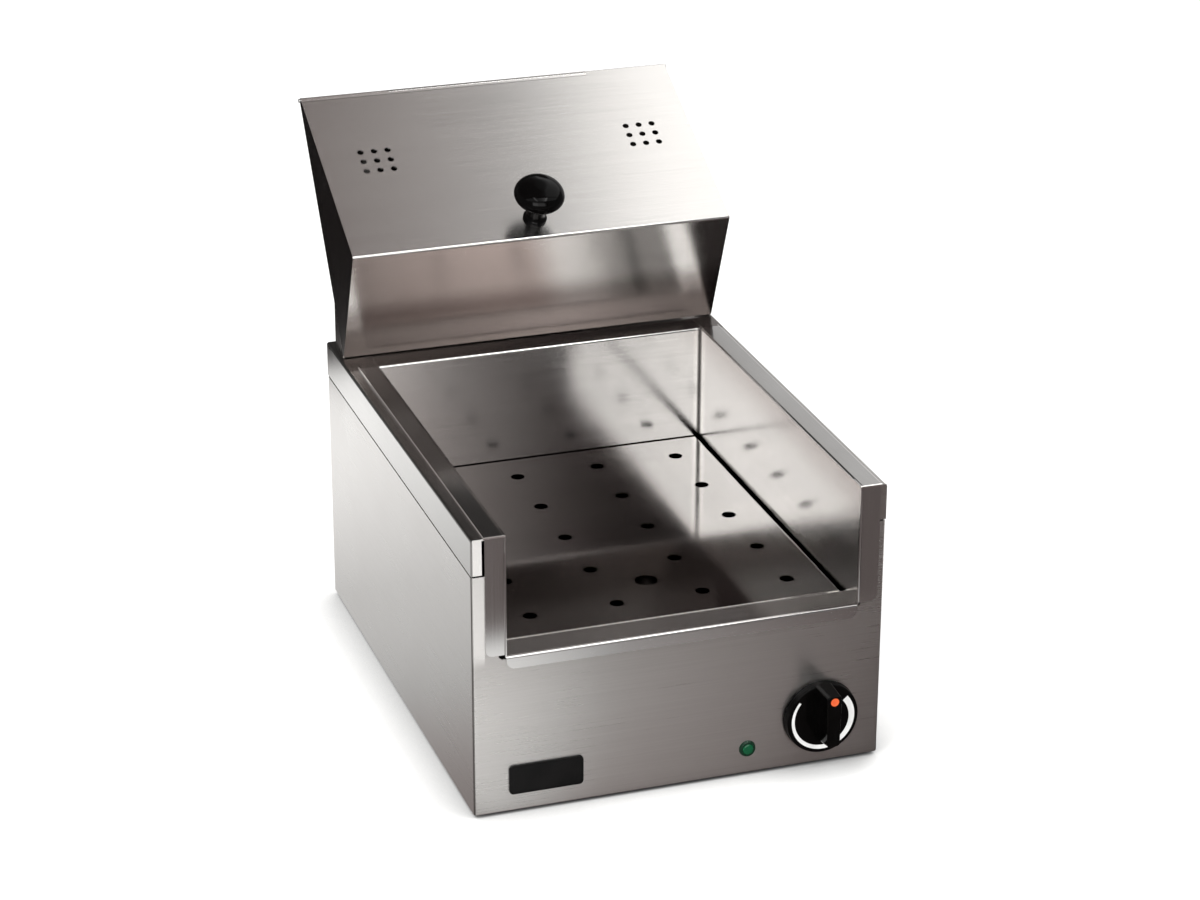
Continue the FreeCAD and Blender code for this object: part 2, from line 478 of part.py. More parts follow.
# lower edge of the front panel trimmed to the plane of the side edges
skin = skin.cut(slab([(BY, BZ), (BY + 6 * nr[0], BZ + 6 * nr[1]), (BY + 6 * nr[0] - 9 * ue[0], BZ + 6 * nr[1] - 9 * ue[1]), (BY - 9 * ue[0], BZ - 9 * ue[1])], 0, "yz", LX0 - 1, lw + 2))
# clearance for the middle knuckle
skin = skin.cut(cyl(KN_R + 0.35, (FOLD_X[0] - 0.4, PT[0], PT[1]), (1, 0, 0), FOLD_X[1] - FOLD_X[0] + 0.8))
skin = skin.cut(slab([(PT[0] - 0.3 * a[0] - 4 * n_[0], PT[1] - 0.3 * a[1] - 4 * n_[1]), (PT[0] + 6 * a[0] - 4 * n_[0], PT[1] + 6 * a[1] - 4 * n_[1]), (PT[0] + 6 * a[0] + 4 * n_[0], PT[1] + 6 * a[1] + 4 * n_[1]), (PT[0] - 0.3 * a[0] + 4 * n_[0], PT[1] - 0.3 * a[1] + 4 * n_[1])], 0, "yz", FOLD_X[0] - 0.4, FOLD_X[1] - FOLD_X[0] + 0.8))
sides = []
for sx in (LX0, LX1 - T):
    sides.append(slab([TE, (FY, FZ), (BY, BZ), ET], [0, 2.2, 0, 0], "yz", sx, T))
kn = []
for k0, k1 in ((LX0, FOLD_X[0] - 0.3), (FOLD_X[1] + 0.3, LX1)):
    kn.append(cyl(KN_R, (k0, PT[0], PT[1]), (1, 0, 0), k1 - k0))
cover = fuse(skin, *(sides + kn))
cover = cover.cut(cyl(BORE_R, (LX0 - 5, PT[0], PT[1]), (1, 0, 0), lw + 10))
# vents: two blocks of nine
for xc in (-98.8, 102.4):
    for i in (-1, 0, 1):
        for j in (-1, 0, 1):
            s = 90.7 + 9.5 * j
            c = (xc + 10.05 * i, FY + s * a[0] - 5 * n_[0], FZ + s * a[1] - 5 * n_[1])
            cover = cover.cut(cyl(2.35, c, (0, n_[0], n_[1]), 10))
# knob hole
KS = 19.0
kb = (LX0 / 2 + LX1 / 2 - 2.0, FY + KS * a[0], FZ + KS * a[1])
cover = cover.cut(cyl(2.6, (kb[0], kb[1] - 5 * n_[0], kb[2] - 5 * n_[1]), (0, n_[0], n_[1]), 10))
parts["lid_front_cover"] = cover
# lid knob: round mushroom head on a tapered neck, screwed from inside
neck_prof = [(0, 0.0), (8.6, 0.0), (8.6, 1.2), (6.7, 3.0), (6.2, 8.0), (6.9, 15.0), (7.4, 16.4), (0, 16.4)]
head_prof = [(0, 16.4), (7.4, 16.4), (11.0, 17.4), (16.4, 20.2), (18.2, 23.6), (17.0, 27.6), (13.0, 31.2), (7.0, 33.4), (0, 34.0)]


def turned(prof, first, last, base):
    """solid of revolution: a smooth curve between two profile points, straight elsewhere"""
    pts = [V(p[0], 0, p[1]) for p in prof]
    edges = [Part.LineSegment(pts[i], pts[i + 1]).toShape() for i in range(first)]
    c = Part.BSplineCurve()
    if last == len(pts) - 1:
        c.interpolate(pts[first:], InitialTangent=V(1, 0, 0.15), FinalTangent=V(-1, 0, 0))
    else:
        c.interpolate(pts[first:last + 1])
    edges.append(c.toShape())
    edges += [Part.LineSegment(pts[i], pts[i + 1]).toShape() for i in range(last, len(pts) - 1)]
    edges.append(Part.LineSegment(pts[-1], pts[0]).toShape())
    s = Part.Face(Part.Wire(edges)).revolve(V(0, 0, 0), V(0, 0, 1), 360)
    if s.ShapeType != "Solid":
        s = Part.Solid(s.Shells[0])
    if s.Volume < 0:
        s.reverse()
    s.rotate(V(0, 0, 0), V(1, 0, 0), A_DEG)
    s.translate(V(*base))
    return s


for name, pr, i0, i1 in (("lid_knob_neck", neck_prof, 2, 6), ("lid_knob", head_prof, 1, 8)):
    knob = turned(pr, i0, i1, kb)
    parts[name] = knob.cut(cyl(2.05, (kb[0], kb[1] - n_[0], kb[2] - n_[1]), (0, n_[0], n_[1]), 25))
u = lambda s: (kb[0], kb[1] + s * n_[0], kb[2] + s * n_[1])
parts["lid_knob_washer"] = tube(5.5, 2.1, u(-T - 1.0), (0, n_[0], n_[1]), 1.0)
parts["lid_knob_screw"] = fuse(cyl(3.8, u(-T - 1.0 - 2.6), (0, n_[0], n_[1]), 2.6), cyl(2.0, u(-T - 1.2), (0, n_[0], n_[1]), T + 1.2 + 23))

# rear leaf: flat sheet between the two hinge axes
vh = (PT[0] - HY, PT[1] - HZ)
lh = sqrt(vh[0] ** 2 + vh[1] ** 2)
uh = (vh[0] / lh, vh[1] / lh)
nf = (-uh[1], uh[0])        # towards the front cover


def leaf_pt(s, o):
    return (HY + s * uh[0] + o * nf[0], HZ + s * uh[1] + o * nf[1])


o0, o1 = KN_R - T, KN_R
leaf = slab([leaf_pt(2.4, o0), leaf_pt(lh - 2.6, o0), leaf_pt(lh - 2.6, o1), leaf_pt(2.4, o1)], 0, "yz", LEAF_X[0], LEAF_X[1] - LEAF_X[0])
leaf = fuse(leaf, slab([leaf_pt(lh - 3, o0), leaf_pt(lh, o0), leaf_pt(lh, o1), leaf_pt(lh - 3, o1)], 0, "yz", FOLD_X[0], FOLD_X[1] - FOLD_X[0]),
            cyl(KN_R, (FOLD_X[0], PT[0], PT[1]), (1, 0, 0), FOLD_X[1] - FOLD_X[0]))
fixed_k = [(-79.0, -43.0), (-17.0, 19.0), (45.0, 81.0)]
move_k = [(-42.7, -17.3), (19.3, 44.7)]
for k0, k1 in move_k:
    leaf = fuse(leaf, slab([leaf_pt(0, o0), leaf_pt(3, o0), leaf_pt(3, o1), leaf_pt(0, o1)], 0, "yz", k0, k1 - k0), cyl(KN_R, (k0, HY, HZ), (1, 0, 0), k1 - k0))
leaf = leaf.cut(cyl(BORE_R, (-200, PT[0], PT[1]), (1, 0, 0), 400)).cut(cyl(BORE_R, (-200, HY, HZ), (1, 0, 0), 400))
parts["lid_rear_leaf"] = leaf
parts["fold_pin"] = fuse(cyl(PIN_R, (LX0 - 0.6, PT[0], PT[1]), (1, 0, 0), lw + 1.2), cyl(1.35, (LX0 - 1.2, PT[0], PT[1]), (1, 0, 0), 0.8), cyl(1.35, (LX1 + 0.3, PT[0], PT[1]), (1, 0, 0), 0.8))

# fixed rear hinge: plate on the ledge with three knuckles, pin and flat rivets
hp = box(-80, HY - 21, H, 82, HY, H + T)
hp = fil(hp, 2.0, lambda e: along(e, 2) and e.BoundBox.YMax < HY - 10)
for k0, k1 in move_k:
    hp = hp.cut(box(k0 - 0.3, HY - KN_R - 0.8, H - 1, k1 + 0.3, HY + 1, H + 3))
for k0, k1 in fixed_k:
    hp = fuse(hp, cyl(KN_R, (k0, HY, HZ), (1, 0, 0), k1 - k0), box(k0, HY - KN_R, H + T - 0.2, k1, HY - 0.5, HZ))
hp = hp.cut(cyl(BORE_R, (-200, HY, HZ), (1, 0, 0), 400))
for x, y in hinge_holes:
    hp = hp.cut(cyl(1.6, (x, y, H - 1), (0, 0, 1), 4))
parts["rear_hinge_plate"] = hp
parts["rear_hinge_pin"] = fuse(cyl(PIN_R, (-80.0, HY, HZ), (1, 0, 0), 162.2), cyl(1.4, (-80.8, HY, HZ), (1, 0, 0), 0.9))
parts["rear_hinge_rivets"] = group(*[fuse(cyl(1.5, (x, y, H - 3.5), (0, 0, 1), 3.5 + T + 0.1), fil(cyl(2.6, (x, y, H + T), (0, 0, 1), 0.45), 0.3, lambda e: abs(e.BoundBox.ZMin - H - T - 0.45) < 0.01)) for x, y in hinge_holes])

# side rests that the folded lid leans on
un = (-ue[0], -ue[1])       # up along the lid's side edge
RY = 351.0
clr = 0.45
b0 = (BY + nr[0] * clr, BZ + nr[1] * clr)
t_top = (RY - b0[0]) / un[0]
zt = b0[1] + t_top * un[1]
t_bot = (H + 0.0 - b0[1]) / un[1]
yb = b0[0] + t_bot * un[0]
rests = []
for s, xo in ((-1, LX0), (1, LX1)):
    xa, xb = (xo, xo + T) if s < 0 else (xo - T, xo)
    tri = slab([(yb + 2, H), (RY, H), (RY, zt), (yb + 2, H + (zt - H) * 2 / (RY - yb))], 0, "yz", xa, T)
    fx0, fx1 = (xo, xo + 11.5) if s < 0 else (xo - 11.5, xo)
    ft = slab([(fx0, yb + 2.5), (fx1, yb + 2.5), (fx1, RY), (fx0, RY)], 0, "xy", H, T)
    r = fuse(tri, ft)
    for x, y in cheek_holes:
        r = r.cut(cyl(1.6, (x, y, H - 1), (0, 0, 1), 4))
    rests.append(r)
parts["lid_rests"] = group(*rests)
parts["lid_rest_rivets"] = group(*[pan_screw((x, y, H + T), (0, 0, -1), 1.5, 4.5, 2.6, 1.0) for x, y in cheek_holes])

# ---------------------------------------------------------------- control knob: skirt, grip bar, dial arc, pointer dot, shaft
KY0, KT = -1.6, 5.0
face_y = KY0 - KT
kn_b = cone(26.0, 25.2, (KX, KY0, KZ), (0, -1, 0), KT)
kn_b = fil(kn_b, 1.1, lambda e: abs(e.BoundBox.YMax - face_y) < 0.01 and abs(e.BoundBox.YMin - face_y) < 0.01)


def bar_ring(w0, w1, z0, z1, y, r):
    return round_poly([(KX - w0, KZ + z0), (KX + w0, KZ + z0), (KX + w1, KZ + z1), (KX - w1, KZ + z1)], r, lambda p: V(p[0], y, p[1]))


bar = Part.makeLoft([bar_ring(5.4, 6.3, -14.6, 26.0, face_y + 0.6, 2.6), bar_ring(4.5, 5.0, -11.6, 25.6, YMIN, 2.0)], True, True)
bar = fil(bar, 0.9, lambda e: abs(e.BoundBox.YMax - YMIN) < 0.01 and abs(e.BoundBox.YMin - YMIN) < 0.01)
kb2 = fuse(kn_b, bar)
kb2 = kb2.cut(cyl(22.0, (KX, KY0 + 1, KZ), (0, -1, 0), 3.4).cut(cyl(6.5, (KX, KY0 + 2, KZ), (0, -1, 0), 9)))
kb2 = kb2.cut(cyl(3.0, (KX, KY0 + 1, KZ), (0, -1, 0), 16))


# dial band: a crescent that widens clockwise from the upper left round to the upper right
def band(a0, a1, w0, w1, ro, steps, y0, y1):
    pin, pout = [], []
    for i in range(steps + 1):
        t = i / steps
        q = radians(a0 + (a1 - a0) * t)
        ri = ro - w0 - (w1 - w0) * t
        pin.append(V(KX + ri * cos(q), y0, KZ + ri * sin(q)))
        pout.append(V(KX + ro * cos(q), y0, KZ + ro * sin(q)))
    b1, b2 = Part.BSplineCurve(), Part.BSplineCurve()
    b1.interpolate(pin)
    b2.interpolate(pout[::-1])
    e = [b1.toShape(), Part.LineSegment(pin[-1], pout[-1]).toShape(), b2.toShape(), Part.LineSegment(pout[0], pin[0]).toShape()]
    return Part.Face(Part.Wire(e)).extrude(V(0, y1 - y0, 0))


dial = band(140, 400, 1.6, 4.5, 22.5, 24, face_y - 0.15, face_y + 0.45)
kb2 = kb2.cut(dial)
dot = cyl(2.9, (KX, YMIN, KZ + 21.6), (0, 1, 0), 1.2)
kb2 = kb2.cut(dot)
parts["control_knob"] = kb2
parts["dial_arc"] = dial
parts["pointer_dot"] = dot
sh = cyl(2.98, (KX, -16.4, KZ), (0, 1, 0), 29.4)
sh = sh.cut(box(KX - 4, -18, KZ + 1.6, KX + 4, -4, KZ + 4))
parts["control_shaft"] = sh

# ---------------------------------------------------------------- write
for name in sorted(parts):
    s = parts[name]
    s = s.copy()
    s.translate(SHIFT)
    sol = s.Solids
    bad = [i for i, x in enumerate(sol) if not x.isValid() or x.Volume <= 0]
    if not sol or bad:
        print("CHECK", name, len(sol), bad)
    out = sol[0] if len(sol) == 1 else Part.makeCompound(sol)
    out.exportStep("parts/%s.step" % name)
print(len(parts), "nodes")
print("fold axis", PT[0] + SHIFT.y, PT[1] + SHIFT.z, "rear hinge axis", HY + SHIFT.y, HZ + SHIFT.z, "shift", SHIFT)
close_leaf = 180 - degrees(atan2(vh[1], vh[0]))
close_cover = degrees(atan2(-ue[1], -ue[0]))
print("leaf closes by", close_leaf, "cover turns by", -close_cover, "between them", -close_cover - close_leaf)
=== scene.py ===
import math

import bmesh
import bpy
from mathutils import Matrix, Vector

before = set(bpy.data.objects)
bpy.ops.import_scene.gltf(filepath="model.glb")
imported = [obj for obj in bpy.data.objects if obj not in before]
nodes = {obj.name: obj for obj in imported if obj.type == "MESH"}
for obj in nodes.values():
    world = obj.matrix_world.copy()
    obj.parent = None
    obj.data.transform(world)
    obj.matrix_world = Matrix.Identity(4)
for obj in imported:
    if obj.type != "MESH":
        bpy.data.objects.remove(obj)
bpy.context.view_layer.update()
scene = bpy.context.scene

# ---------------------------------------------------------------- node helpers


class Tree:
    """A material's or world's node tree with short ways to add nodes."""

    def __init__(self, tree):
        self.t = tree
        tree.nodes.clear()

    def node(self, kind, **values):
        n = self.t.nodes.new(kind)
        for k, v in values.items():
            setattr(n, k, v)
        return n

    def link(self, a, b):
        self.t.links.new(a, b)

    def put(self, socket, value):
        if isinstance(value, bpy.types.NodeSocket):
            self.link(value, socket)
        else:
            socket.default_value = value

    def math(self, op, a, b=None, c=None, clamp=False):
        n = self.node("ShaderNodeMath", operation=op, use_clamp=clamp)
        self.put(n.inputs[0], a)
        if b is not None:
            self.put(n.inputs[1], b)
        if c is not None:
            self.put(n.inputs[2], c)
        return n.outputs[0]

    def vmath(self, op, a, b=None, scale=None):
        n = self.node("ShaderNodeVectorMath", operation=op)
        self.put(n.inputs[0], a)
        if b is not None:
            self.put(n.inputs[1], b)
        if scale is not None:
            self.put(n.inputs["Scale"], scale)
        return n.outputs["Value"] if op in ("DOT_PRODUCT", "LENGTH") else n.outputs[0]

    def split(self, v):
        n = self.node("ShaderNodeSeparateXYZ")
        self.link(v, n.inputs[0])
        return n.outputs

    def join(self, x, y, z):
        n = self.node("ShaderNodeCombineXYZ")
        self.put(n.inputs[0], x)
        self.put(n.inputs[1], y)
        self.put(n.inputs[2], z)
        return n.outputs[0]

    def noise(self, vector, scale, detail=2.0, rough=0.5, distortion=0.0):
        n = self.node("ShaderNodeTexNoise")
        self.link(vector, n.inputs["Vector"])
        n.inputs["Scale"].default_value = scale
        n.inputs["Detail"].default_value = detail
        n.inputs["Roughness"].default_value = rough
        n.inputs["Distortion"].default_value = distortion
        return n.outputs["Fac"]

    def voronoi(self, vector, scale, feature="F1", out="Distance", randomness=1.0):
        n = self.node("ShaderNodeTexVoronoi", feature=feature)
        self.link(vector, n.inputs["Vector"])
        n.inputs["Scale"].default_value = scale
        n.inputs["Randomness"].default_value = randomness
        return n.outputs[out]

    def remap(self, value, a, b, c=0.0, d=1.0, smooth=False):
        n = self.node("ShaderNodeMapRange")
        n.interpolation_type = "SMOOTHSTEP" if smooth else "LINEAR"
        self.put(n.inputs["Value"], value)
        self.put(n.inputs["From Min"], a)
        self.put(n.inputs["From Max"], b)
        self.put(n.inputs["To Min"], c)
        self.put(n.inputs["To Max"], d)
        return n.outputs["Result"]

    def mix(self, factor, a, b):
        """Colours a to b."""
        n = self.node("ShaderNodeMix", data_type="RGBA")
        self.put(n.inputs[0], factor)
        self.put(n.inputs[6], (*a, 1.0) if isinstance(a, tuple) else a)
        self.put(n.inputs[7], (*b, 1.0) if isinstance(b, tuple) else b)
        return n.outputs[2]

    def pick(self, factor, a, b):
        """Vectors a to b."""
        n = self.node("ShaderNodeMix", data_type="VECTOR")
        self.put(n.inputs[0], factor)
        self.put(n.inputs[4], a)
        self.put(n.inputs[5], b)
        return n.outputs[1]

    def bump(self, height, strength, distance, normal=None):
        n = self.node("ShaderNodeBump")
        n.inputs["Strength"].default_value = strength
        n.inputs["Distance"].default_value = distance
        self.link(height, n.inputs["Height"])
        if normal is not None:
            self.link(normal, n.inputs["Normal"])
        return n.outputs["Normal"]


def material(name):
    m = bpy.data.materials.new(name)
    m.use_nodes = True
    t = Tree(m.node_tree)
    out = t.node("ShaderNodeOutputMaterial")
    shader = t.node("ShaderNodeBsdfPrincipled")
    t.link(shader.outputs[0], out.inputs[0])
    return m, t, shader


# ---------------------------------------------------------------- brushed steel

X, Y, Z = (1.0, 0.0, 0.0), (0.0, 1.0, 0.0), (0.0, 0.0, 1.0)


def brushed(
    name,
    along,
    seed,
    tint=(0.615, 0.600, 0.585),
    dark=(0.565, 0.550, 0.535),
    rough=0.20,
    spread=0.62,
    line=1.0,
    cases=(),
    painted_light=(),
    lean=(),
):
    """Brushed stainless sheet. The grain runs along one axis, and along another where a case's test holds.
    A case is (test, axis): test is given the tree, the position and the normal, and returns a factor.
    The list of (test, colour, amount) patches paints shade and highlight into the colour, lean is a list of (test,
    vector) for rolled edges."""
    m, t, s = material(name)
    at = t.node("ShaderNodeTexCoord")
    p = t.vmath("ADD", at.outputs["Object"], (seed * 0.731, seed * 0.417, seed * 0.293))
    g = t.join(*along)
    for test, axis in cases:
        g = t.pick(test(t, at.outputs["Object"], at.outputs["Normal"]), g, axis)
    run = t.vmath("DOT_PRODUCT", p, g)

    def lines(across, down, detail, rough_):
        """Noise drawn out along the grain."""
        wide = t.vmath("SCALE", p, scale=across)
        back = t.vmath("SCALE", g, scale=t.math("MULTIPLY", run, down - across))
        return t.noise(t.vmath("ADD", wide, back), 1.0, detail, rough_)

    fine = lines(2300.0, 14.0, 2.0, 0.6)
    broad = lines(520.0, 5.0, 2.0, 0.55)
    band = lines(60.0, 1.2, 1.0, 0.5)
    smudge = t.noise(p, 11.0, 3.0, 0.55, 0.4)
    hazy = t.noise(p, 3.0, 1.0, 0.5)
    mixed = t.math(
        "MULTIPLY_ADD", fine, 0.55, t.math("MULTIPLY_ADD", broad, 0.35, t.math("MULTIPLY", band, 0.10))
    )
    shade = t.remap(mixed, 0.36, 0.64)
    colour = t.mix(shade, dark, tint)
    colour = t.mix(t.remap(smudge, 0.35, 0.75, 0.0, 0.10), colour, (0.52, 0.49, 0.46))
    # Painted shade and painted highlight: each patch mixes a darker or paler colour into the steel.
    for test, paint_colour, amount in painted_light:
        patch = test(t, at.outputs["Object"], at.outputs["Normal"])
        colour = t.mix(t.math("MULTIPLY", patch, t.remap(smudge, 0.3, 0.7, amount - 0.06, amount)), colour, paint_colour)
    t.link(colour, s.inputs["Base Color"])
    s.inputs["Metallic"].default_value = 1.0
    r = t.math("MULTIPLY_ADD", t.math("SUBTRACT", mixed, 0.5), 0.12, rough)
    r = t.math("MULTIPLY_ADD", t.math("SUBTRACT", smudge, 0.5), 0.07, r)
    r = t.math("MULTIPLY_ADD", t.math("SUBTRACT", hazy, 0.5), 0.04, r, clamp=True)
    t.link(r, s.inputs["Roughness"])
    s.inputs["Anisotropic"].default_value = spread
    s.inputs["Anisotropic Rotation"].default_value = 0.25
    turn = t.node(
        "ShaderNodeVectorTransform", vector_type="VECTOR", convert_from="OBJECT", convert_to="WORLD"
    )
    t.link(g, turn.inputs[0])
    t.link(turn.outputs[0], s.inputs["Tangent"])
    n = t.bump(fine, 0.10 * line, 0.00005)
    n = t.bump(broad, 0.05 * line, 0.00010, n)
    for test, way in lean:
        patch = test(t, at.outputs["Object"], at.outputs["Normal"])
        n = t.vmath("NORMALIZE", t.vmath("ADD", n, t.vmath("SCALE", way, scale=patch)))
    t.link(n, s.inputs["Normal"])
    return m


def facing(axis, least):
    """1 where the normal is along this axis."""

    def test(t, p, n):
        return t.math("GREATER_THAN", t.math("ABSOLUTE", t.split(n)[axis]), least)

    return test


def both(*tests):
    def test(t, p, n):
        out = tests[0](t, p, n)
        for more in tests[1:]:
            out = t.math("MULTIPLY", out, more(t, p, n))
        return out

    return test


def beyond(axis, limit, side=1):
    """1 where the place along this axis is past the limit; side 0 takes both ways from the middle."""

    def test(t, p, n):
        v = t.split(p)[axis]
        if side == 0:
            return t.math("GREATER_THAN", t.math("ABSOLUTE", v), limit)
        if side < 0:
            return t.math("LESS_THAN", v, limit)
        return t.math("GREATER_THAN", v, limit)

    return test


def glow_line(x, y, reach):
    """Fades out with distance from an upright line in the pan's rear right corner."""

    def test(t, p, n):
        px, py, pz = t.split(p)
        dx = t.math("SUBTRACT", px, x)
        dy = t.math("SUBTRACT", py, y)
        d = t.math("SQRT", t.math("ADD", t.math("MULTIPLY", dx, dx), t.math("MULTIPLY", dy, dy)))
        return t.math("MULTIPLY", t.remap(d, 0.35 * reach, reach, 1.0, 0.0, smooth=True), t.math("GREATER_THAN", pz, 0.112))

    return test


def left_rail(t, p, n):
    """Grows towards the front along the top of the left rail."""
    x, y, z = t.split(p)
    top = t.math("GREATER_THAN", t.split(n)[2], 0.7)
    there = t.math("MULTIPLY", t.math("LESS_THAN", x, -0.1195), t.math("GREATER_THAN", z, 0.19))
    return t.math("MULTIPLY", t.math("MULTIPLY", top, there), t.remap(y, 0.07, -0.03, 0.0, 1.0))


def flange_edge(t, p, n):
    """1 on the cut edges of the pan's side flanges and on the upper edge of its wings."""
    x, y, z = t.split(p)
    side = t.math("GREATER_THAN", t.math("ABSOLUTE", t.math("SUBTRACT", x, 0.002)), 0.13600)
    side = t.math("MULTIPLY", side, t.math("GREATER_THAN", z, 0.2002))
    wing = t.math("MULTIPLY", t.math("LESS_THAN", y, -0.2056), t.math("GREATER_THAN", z, 0.2005))
    return t.math("MAXIMUM", side, wing)


def lower_front(t, p, n):
    """Grows towards the lower edge of the lid's steep front."""
    steep = t.math("GREATER_THAN", t.math("ABSOLUTE", t.split(n)[1]), 0.7)
    return t.math("MULTIPLY", steep, t.remap(t.split(p)[2], 0.256, 0.232, 0.0, 1.0, smooth=True))


def left_skirt(t, p, n):
    """1 on the outer face of the left rail."""
    return t.math("MULTIPLY", facing(0, 0.7)(t, p, n), beyond(0, -0.14, -1)(t, p, n))


def left_fold(t, p, n):
    """1 along the middle of the upright fold at the left front corner."""
    return t.math("MULTIPLY", beyond(0, -0.1413, -1)(t, p, n), beyond(1, -0.2043, -1)(t, p, n))


def left_strip(t, p, n):
    """Fades in upwards on the narrow strip beside the pan's left wing."""
    x, y, z = t.split(p)
    front = t.math("MULTIPLY", facing(1, 0.7)(t, p, n), beyond(0, -0.1338, -1)(t, p, n))
    return t.math("MULTIPLY", front, t.remap(z, 0.108, 0.120, 0.0, 1.0, smooth=True))


def left_line(t, p, n):
    """1 on the left flange's cut edge and on the upper edge of the wings."""
    x, y, z = t.split(p)
    side = t.math("MULTIPLY", t.math("LESS_THAN", x, -0.13400), t.math("GREATER_THAN", z, 0.2002))
    wing = t.math("MULTIPLY", t.math("LESS_THAN", y, -0.2056), t.math("GREATER_THAN", z, 0.2005))
    return t.math("MAXIMUM", side, wing)


def left_end(t, p, n):
    """1 on the front end of the top frame's left rail."""
    return t.math("MULTIPLY", facing(1, 0.7)(t, p, n), beyond(0, -0.126, -1)(t, p, n))


def inner_face(t, p, n):
    """1 on the face of the rear leaf that the folded lid hides."""
    hidden = t.math("LESS_THAN", t.split(n)[1], -0.3)
    return t.math("MULTIPLY", hidden, t.math("LESS_THAN", t.split(p)[2], 0.355))


def plate_edge(t, p, n):
    """1 on the front edge of the drain plate."""
    return t.math("LESS_THAN", t.split(p)[1], -0.1818)


def left_part(t, p, n):
    """Grows across the drain plate from right to left, a little weaker at the front left."""
    x, y, z = t.split(p)
    front = t.math("MULTIPLY", t.remap(y, -0.04, -0.11, 0.0, 0.24), t.remap(x, 0.02, -0.02, 0.0, 1.0))
    return t.math("SUBTRACT", t.remap(x, 0.074, 0.040, 0.0, 1.0, smooth=True), front)


def top_band(t, p, n):
    """1 on the narrow band along the lid's top edge."""
    y = t.split(p)[1]
    return t.math("MULTIPLY", t.math("GREATER_THAN", y, 0.2264), t.math("LESS_THAN", y, 0.2287))


def top_line(t, p, n):
    """1 on the thin line below that band."""
    y = t.split(p)[1]
    return t.math("MULTIPLY", t.math("GREATER_THAN", y, 0.2257), t.math("LESS_THAN", y, 0.2264))


